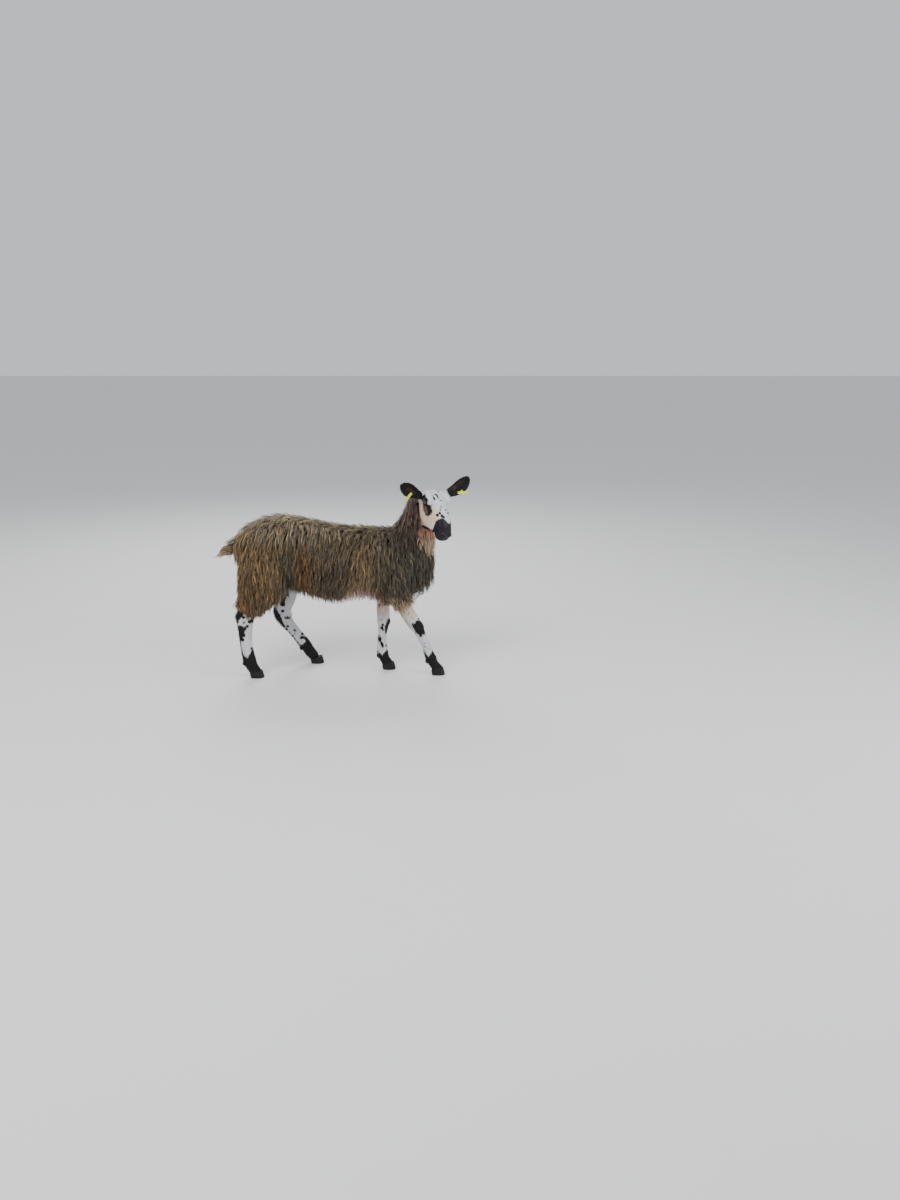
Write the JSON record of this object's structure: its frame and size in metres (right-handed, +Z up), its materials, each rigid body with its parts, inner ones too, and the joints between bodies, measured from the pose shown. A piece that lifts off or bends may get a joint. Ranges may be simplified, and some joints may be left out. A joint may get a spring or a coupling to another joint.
{
  "type": "bluefaced leicester sheep",
  "caption": "Young long-woolled ewe walking with its head turned to its right, life-size and still, with an ear tag in each ear.",
  "frame": {"origin": "on the floor, under the middle of the whole model's bounding box", "axes": "+X the way the body walks, +Y the ewe's left side, +Z up"},
  "size_m": [1.1746, 0.4054, 0.9518],
  "materials": {
    "fleece": "long wavy wool locks, matte",
    "hair": "short smooth hair, white with black spots",
    "eye": "wet gloss",
    "horn": "satin dark horn",
    "tag": "satin yellow"
  },
  "bodies": {
    "root": {"torso": "fleece", "neck": "fleece", "tail": "fleece", "thigh_right": "fleece", "thigh_left": "fleece", "head": "hair", "ear_right": "hair", "ear_left": "hair", "foreleg_right": "hair", "foreleg_left": "hair", "hindleg_right": "hair", "hindleg_left": "hair", "eye_right": "eye", "eye_left": "eye", "tag_right": "tag", "tag_left": "tag", "claw_fore_right_outer": "horn", "claw_fore_right_inner": "horn", "claw_fore_left_outer": "horn", "claw_fore_left_inner": "horn", "claw_hind_right_outer": "horn", "claw_hind_right_inner": "horn", "claw_hind_left_outer": "horn", "claw_hind_left_inner": "horn"}
  },
  "joints": []
}
